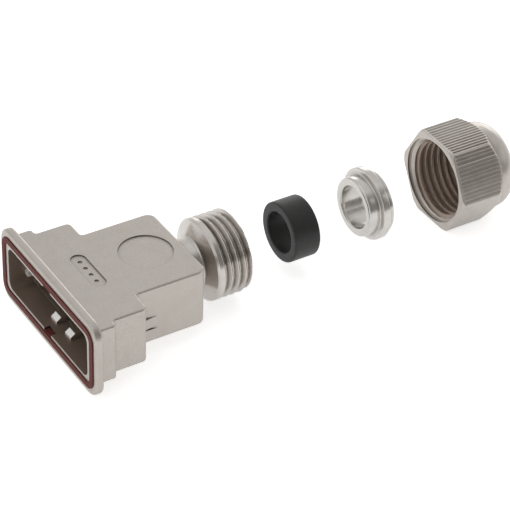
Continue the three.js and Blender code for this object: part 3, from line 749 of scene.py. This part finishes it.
class Graph:
    """A short way to write a node material."""

    def __init__(self, name):
        self.material = bpy.data.materials.new(name)
        self.material.use_nodes = True
        self.tree = self.material.node_tree
        self.shader = self.tree.nodes["Principled BSDF"]
        self.place = self.add("ShaderNodeTexCoord").outputs["Object"]

    def add(self, kind, **settings):
        node = self.tree.nodes.new(kind)
        for key, value in settings.items():
            setattr(node, key, value)
        return node

    def set(self, socket, value):
        if hasattr(value, "is_output"):
            self.tree.links.new(value, socket)
        else:
            socket.default_value = value

    def math(self, operation, a, b=0.0):
        node = self.add("ShaderNodeMath", operation=operation)
        self.set(node.inputs[0], a)
        self.set(node.inputs[1], b)
        return node.outputs[0]

    def noise(self, per_mm, detail=2.0, vector=None, roughness=0.5):
        node = self.add("ShaderNodeTexNoise")
        self.set(node.inputs["Vector"], vector or self.place)
        node.inputs["Scale"].default_value = per_mm / MM
        node.inputs["Detail"].default_value = detail
        node.inputs["Roughness"].default_value = roughness
        return node.outputs["Fac"]

    def spread(self, value, low, high):
        """Stretches noise from about 0.3..0.7 to low..high."""
        node = self.add("ShaderNodeMapRange")
        self.set(node.inputs["Value"], value)
        node.inputs["From Min"].default_value = 0.3
        node.inputs["From Max"].default_value = 0.7
        node.inputs["To Min"].default_value = low
        node.inputs["To Max"].default_value = high
        return node.outputs["Result"]

    def mix(self, factor, a, b):
        node = self.add("ShaderNodeMix", data_type="RGBA")
        self.set(node.inputs["Factor"], factor)
        self.set(node.inputs["A"], a)
        self.set(node.inputs["B"], b)
        return node.outputs["Result"]

    def bump(self, height, strength, depth_mm, normal=None):
        node = self.add("ShaderNodeBump")
        node.inputs["Strength"].default_value = strength
        node.inputs["Distance"].default_value = depth_mm * MM
        self.set(node.inputs["Height"], height)
        if normal is not None:
            self.set(node.inputs["Normal"], normal)
        return node.outputs["Normal"]

    def unhidden(self, reach_mm):
        """0 in a crease and 1 in the open, for painting shade into creases."""
        node = self.add("ShaderNodeAmbientOcclusion", samples=8)
        node.inputs["Distance"].default_value = reach_mm * MM
        return node.outputs["AO"]

    def along_turning(self):
        """Coordinates that only change along the axis and with the radius, as a lathe's marks do."""
        split = self.add("ShaderNodeSeparateXYZ")
        self.set(split.inputs[0], self.place)
        squares = [self.math("POWER", split.outputs[i], 2.0) for i in (1, 2)]
        radius = self.math("SQRT", self.math("ADD", *squares))
        join = self.add("ShaderNodeCombineXYZ")
        self.set(join.inputs[0], split.outputs[0])
        self.set(join.inputs[1], radius)
        return join.outputs[0]

    def marked(self, name):
        """1 on the faces that mark_faces chose under a name."""
        return self.add("ShaderNodeAttribute", attribute_name=name).outputs["Fac"]

    def finish(self, colour, roughness, metallic, normal, **extra):
        """Sets the shader's inputs and gives back the material."""
        values = {"Base Color": colour, "Roughness": roughness, "Metallic": metallic, "Normal": normal}
        for key, value in {**values, **extra}.items():
            self.set(self.shader.inputs[key], value)
        return self.material


# Colours in linear RGB, with an alpha of 1. The hollow and crease colours are painted shade, and the
# near-white one is a painted highlight for the lead-ins.
CAST = {
    "dark": (0.455, 0.42, 0.385, 1), "light": (0.505, 0.47, 0.435, 1), "speckle": (0.56, 0.525, 0.49, 1),
    "hollow": (0.30, 0.235, 0.19, 1), "crease": (0.16, 0.135, 0.115, 1), "lead_in_highlight": (0.97, 0.96, 0.94, 1),
}
TURNED = {"hollow": (0.36, 0.285, 0.235, 1), "crease": (0.17, 0.14, 0.115, 1)}


def cast_nickel():
    """Matte nickel on a casting, with painted shade in the hollow and creases and a painted highlight on the
    lead-ins.
    """
    g = Graph("cast_nickel")
    hollow, lead_in_highlight = g.marked("inside"), g.marked("lead_in_highlight")
    tone = g.mix(g.spread(g.noise(0.35, 3), 0, 1), CAST["dark"], CAST["light"])
    tone = g.mix(g.spread(g.noise(5, 2), 0, 1), tone, CAST["speckle"])
    # Painted shade in the hollow: its faces take a dull brown and turn less metallic.
    tone = g.mix(hollow, tone, CAST["hollow"])
    # Painted shade in the creases, from ambient occlusion.
    open_share = g.math("POWER", g.unhidden(0.7), 1.2)
    tone = g.mix(open_share, CAST["crease"], tone)
    # Painted highlight: the lead-ins turn near-white, smoother and less metallic.
    colour = g.mix(lead_in_highlight, tone, CAST["lead_in_highlight"])
    roughness = g.math("ADD", g.spread(g.noise(1.5, 2), 0.0, 0.08), 0.36)
    roughness = g.math("SUBTRACT", roughness, g.math("MULTIPLY", lead_in_highlight, 0.2))
    dull = g.math("ADD", g.math("MULTIPLY", hollow, 0.45), g.math("MULTIPLY", lead_in_highlight, 0.65))
    metallic = g.math("SUBTRACT", 1.0, dull)
    grain = g.bump(g.noise(6, 2), 0.5, 0.012)
    normal = g.bump(g.noise(0.8, 1), 0.25, 0.03, grain)
    return g.finish(colour, roughness, metallic, normal)


def turned_nickel(name, light, dark, gloss, crease_shade):
    """Bright nickel over lathe marks that run round the axis, with painted shade in the creases and inside
    the nut.
    """
    g = Graph(name)
    marks = g.along_turning()
    hollow = g.marked("inside")
    tone = g.mix(g.spread(g.noise(0.5, 3), 0, 1), dark, light)
    # Painted shade in the creases, from ambient occlusion.
    open_share = g.math("POWER", g.unhidden(0.8), crease_shade)
    tone = g.mix(open_share, TURNED["crease"], tone)
    # Painted shade inside the nut's bore.
    colour = g.mix(hollow, tone, TURNED["hollow"])
    metallic = g.math("SUBTRACT", 1.0, g.math("MULTIPLY", hollow, 0.5))
    roughness = g.math("ADD", g.spread(g.noise(6, 2, marks), 0.0, 0.08), gloss)
    fine = g.bump(g.noise(14, 2, marks), 0.3, 0.004)
    normal = g.bump(g.noise(7, 2), 0.12, 0.008, fine)
    tangent = g.add("ShaderNodeTangent", direction_type="RADIAL", axis="X")
    return g.finish(colour, roughness, metallic, normal, Anisotropic=0.3, Tangent=tangent.outputs[0])


def rubber(name, dark, light, gloss, sheen, shine=0.5):
    """Moulded rubber: a fine matte skin, faint dust, and a soft sheen."""
    g = Graph(name)
    dust = g.spread(g.noise(1.2, 4, roughness=0.65), 0, 1)
    colour = g.mix(dust, dark, light)
    roughness = g.math("ADD", g.spread(g.noise(3, 2), 0.0, 0.1), gloss)
    skin = g.bump(g.noise(12, 2), 0.3, 0.01)
    normal = g.bump(g.noise(1.5, 2), 0.2, 0.02, skin)
    coating = {"Sheen Weight": sheen, "Sheen Roughness": 0.4, "Specular IOR Level": shine}
    return g.finish(colour, roughness, 0.0, normal, **coating)


# ---------------------------------------------------------------- the object

NICKEL_CAST = cast_nickel()
NICKEL_TURNED = turned_nickel("turned_nickel", (0.66, 0.63, 0.60, 1), (0.58, 0.55, 0.52, 1), 0.17, 1.6)
NICKEL_NUT = turned_nickel("nut_nickel", (0.56, 0.525, 0.49, 1), (0.50, 0.465, 0.43, 1), 0.28, 0.7)
NICKEL_BRIGHT = turned_nickel("bright_nickel", (0.68, 0.66, 0.635, 1), (0.60, 0.58, 0.555, 1), 0.17, 1.3)
BLACK_RUBBER = rubber("black_rubber", (0.008, 0.0075, 0.0075, 1), (0.014, 0.0135, 0.0135, 1), 0.42, 0.05)
SEAL_RUBBER = rubber("seal_rubber", (0.10, 0.022, 0.018, 1), (0.135, 0.034, 0.028, 1), 0.6, 0.03, 0.2)

finished(hood_shell(), "hood", "hood_shell", NICKEL_CAST)
finished(flange_seal(), "hood", "flange_seal", SEAL_RUBBER)
finished(gland_spigot(), "hood", "gland_spigot", NICKEL_TURNED)
finished(o_ring(), "hood", "spigot_o_ring", BLACK_RUBBER)
finished(plain_ring("grommet_moulded", "grommet", GROMMET_BORE, 0.3), "grommet", "grommet",
         BLACK_RUBBER)
finished(thrust_ring(), "thrust_ring", "thrust_ring", NICKEL_BRIGHT)
finished(plain_ring("slip_washer_turned", "slip_washer", WASHER_BORE, 0.12), "slip_washer", "slip_washer",
         NICKEL_BRIGHT)
finished(cap_nut(), "cap_nut", "cap_nut", NICKEL_NUT)


# ---------------------------------------------------------------- floor, light and camera

# In metres. The glow is the floor's own light, and the camera sees a little more of it than the object gets.
FLOOR = {"half": 2.0, "gap": 0.0001, "glow": 0.4, "extra_seen": 0.2}
PANELS = {
    "key_panel": {"place": (-0.25, 0.05, 0.55), "size": (0.5, 0.35), "watts": 0.15},
    "side_panel": {"place": (0.45, -0.35, 0.30), "size": (0.3, 0.3), "watts": 0.15},
}
CAMERA = {"place": (-0.1400, -0.2842, 0.2472), "right": (0.8516, -0.5233, 0.0304),
          "up": (0.2909, 0.5201, 0.8031), "lens": 158.7}

# The tent's colour, and each lobe's colour, direction, and the cosines at which it starts and is full.
TENT = (0.74, 0.735, 0.725, 1)
OPENING = {"colour": (0.25, 0.242, 0.232, 1), "towards": (0.30, -0.90, 0.32), "edge": 0.55, "core": 0.88}
WINDOW = {"colour": (2.0, 1.99, 1.97, 1), "towards": (0.70, 0.70, 0.12), "edge": 0.9, "core": 0.97}


def floor():
    """A pale, softly glowing table just under the lowest part."""
    half, level = FLOOR["half"], CAD_BOX[0].z - FLOOR["gap"]
    corners = [(x * half, y * half, level) for x, y in ((-1, -1), (1, -1), (1, 1), (-1, 1))]
    mesh = bpy.data.meshes.new("floor")
    mesh.from_pydata(corners, [], [(0, 1, 2, 3)])
    obj = link("floor", mesh)
    g = Graph("floor_paper")
    colour = g.mix(g.spread(g.noise(0.02, 2), 0, 1), (0.90, 0.90, 0.90, 1), (0.93, 0.93, 0.93, 1))
    g.finish(colour, 0.8, 0.0, g.bump(g.noise(2, 2), 0.05, 0.02))
    g.shader.inputs["Emission Color"].default_value = (1, 1, 1, 1)
    seen = g.math("MULTIPLY", g.add("ShaderNodeLightPath").outputs["Is Camera Ray"], FLOOR["extra_seen"])
    g.set(g.shader.inputs["Emission Strength"], g.math("ADD", seen, FLOOR["glow"]))
    mesh.materials.append(g.material)


def panel(name, place, size, watts):
    """A rectangular light aimed at the middle of the object."""
    light = bpy.data.lights.new(name, "AREA")
    light.shape = "RECTANGLE"
    light.size, light.size_y = size
    light.energy = watts
    obj = link(name, light)
    obj.location = place
    obj.rotation_euler = (-Vector(place)).to_track_quat("-Z", "Y").to_euler()


def lobe(tree, base, colour, towards, edge, core):
    """A colour laid over the sky round one direction, fading in between two cosines."""
    direction = tree.nodes.new("ShaderNodeTexCoord").outputs["Generated"]
    facing = tree.nodes.new("ShaderNodeVectorMath")
    facing.operation = "DOT_PRODUCT"
    tree.links.new(direction, facing.inputs[0])
    facing.inputs[1].default_value = Vector(towards).normalized()
    share = tree.nodes.new("ShaderNodeMapRange")
    share.interpolation_type = "SMOOTHSTEP"
    share.inputs["From Min"].default_value = edge
    share.inputs["From Max"].default_value = core
    tree.links.new(facing.outputs["Value"], share.inputs["Value"])
    mixed = tree.nodes.new("ShaderNodeMix")
    mixed.data_type = "RGBA"
    tree.links.new(share.outputs["Result"], mixed.inputs["Factor"])
    if isinstance(base, tuple):
        mixed.inputs["A"].default_value = base
    else:
        tree.links.new(base, mixed.inputs["A"])
    mixed.inputs["B"].default_value = colour
    return mixed.outputs["Result"]


def studio():
    """A white tent with a dim opening on the camera's side, a low bright window behind, and two panels."""
    world = bpy.data.worlds.new("studio")
    world.use_nodes = True
    tree = world.node_tree
    tent = lobe(tree, TENT, **OPENING)
    sky = lobe(tree, tent, **WINDOW)
    tree.links.new(sky, tree.nodes["Background"].inputs["Color"])
    bpy.context.scene.world = world
    for name, settings in PANELS.items():
        panel(name, **settings)
    bpy.context.scene.view_settings.view_transform = "Standard"


def camera():
    """A long lens, high on the mouth side of the near flank."""
    right, up = Vector(CAMERA["right"]), Vector(CAMERA["up"])
    back = right.cross(up).normalized()
    up = back.cross(right).normalized()
    turn = Matrix((right, up, back)).transposed()
    data = bpy.data.cameras.new("camera")
    data.lens = CAMERA["lens"]
    obj = link("camera", data)
    place = Vector((DATUM, 0, 0)) + Vector(CAMERA["place"])
    obj.matrix_world = Matrix.Translation(place) @ turn.to_4x4()
    data.clip_start = 0.01
    data.clip_end = 10
    bpy.context.scene.camera = obj


floor()
studio()
camera()
